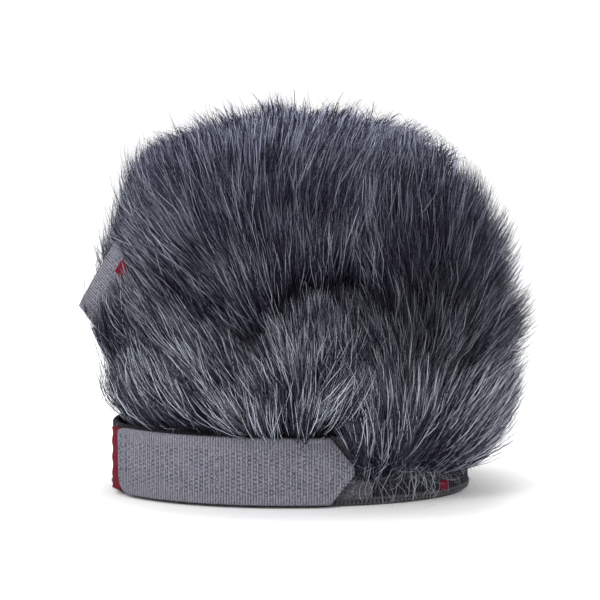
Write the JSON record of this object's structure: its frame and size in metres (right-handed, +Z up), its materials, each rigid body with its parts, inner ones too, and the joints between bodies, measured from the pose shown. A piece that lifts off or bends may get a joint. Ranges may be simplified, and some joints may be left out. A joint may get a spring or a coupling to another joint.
{
  "type": "furry microphone windscreen",
  "caption": "Slip-on fur windscreen hood for a microphone or small recorder, with a knitted mouth band, a pointed hook-and-loop strap and a side tab.",
  "frame": {"origin": "middle of the mouth, in the plane of its overlocked rim", "axes": "+Z up through the crown, the strap on the -Y side, +X towards the strap's pointed end"},
  "size_m": [0.1307, 0.094, 0.1141],
  "materials": {
    "fur_silver": "long combed pile, slate with silver tips",
    "fur_slate": "long combed pile, dark slate",
    "band_knit": "charcoal rib knit",
    "overlock_thread": "dark overlock stitching",
    "tape_grey": "woven grey hook tape",
    "loop_grey": "brushed loop tape",
    "label_red": "plain red woven tape",
    "lining_black": "open spacer cloth",
    "thread_dark": "sewing thread"
  },
  "bodies": {
    "hood": {"fur_front_lower": "fur_silver", "fur_front_corner": "fur_slate", "fur_back_lower": "fur_slate", "fur_front_upper": "fur_slate", "fur_back_upper": "fur_slate", "fur_crown": "fur_slate", "lining_side": "lining_black", "lining_crown": "lining_black", "band_front": "band_knit", "band_back": "band_knit", "overlock_front": "overlock_thread", "overlock_back": "overlock_thread", "strap_root": "tape_grey", "strap_root_thread": "thread_dark", "loop_patch": "loop_grey", "loop_patch_thread": "thread_dark", "label_side": "label_red", "label_corner": "label_red", "tab_root": "tape_grey", "tab_label": "label_red", "tab_thread": "thread_dark"},
    "strap": {"strap_middle": "tape_grey"},
    "strap_end": {"strap_tip": "tape_grey"},
    "tab": {"tab_strap": "tape_grey"}
  },
  "joints": [
    {"name": "strap_peel", "type": "hinge", "parent": "hood", "child": "strap", "pos_m": [-0.04786, -0.02007, 0.011], "axis": [0, 0, -1], "range_deg": [0, 100]},
    {"name": "strap_end_peel", "type": "hinge", "parent": "strap", "child": "strap_end", "pos_m": [-0.01042, -0.03696, 0.011], "axis": [0, 0, -1], "range_deg": [0, 75]},
    {"name": "tab_lift", "type": "hinge", "parent": "hood", "child": "tab", "pos_m": [-0.04977, -0.0181, 0.06442], "axis": [-0.6107, 0.5444, 0.5751], "range_deg": [0, 100]}
  ]
}
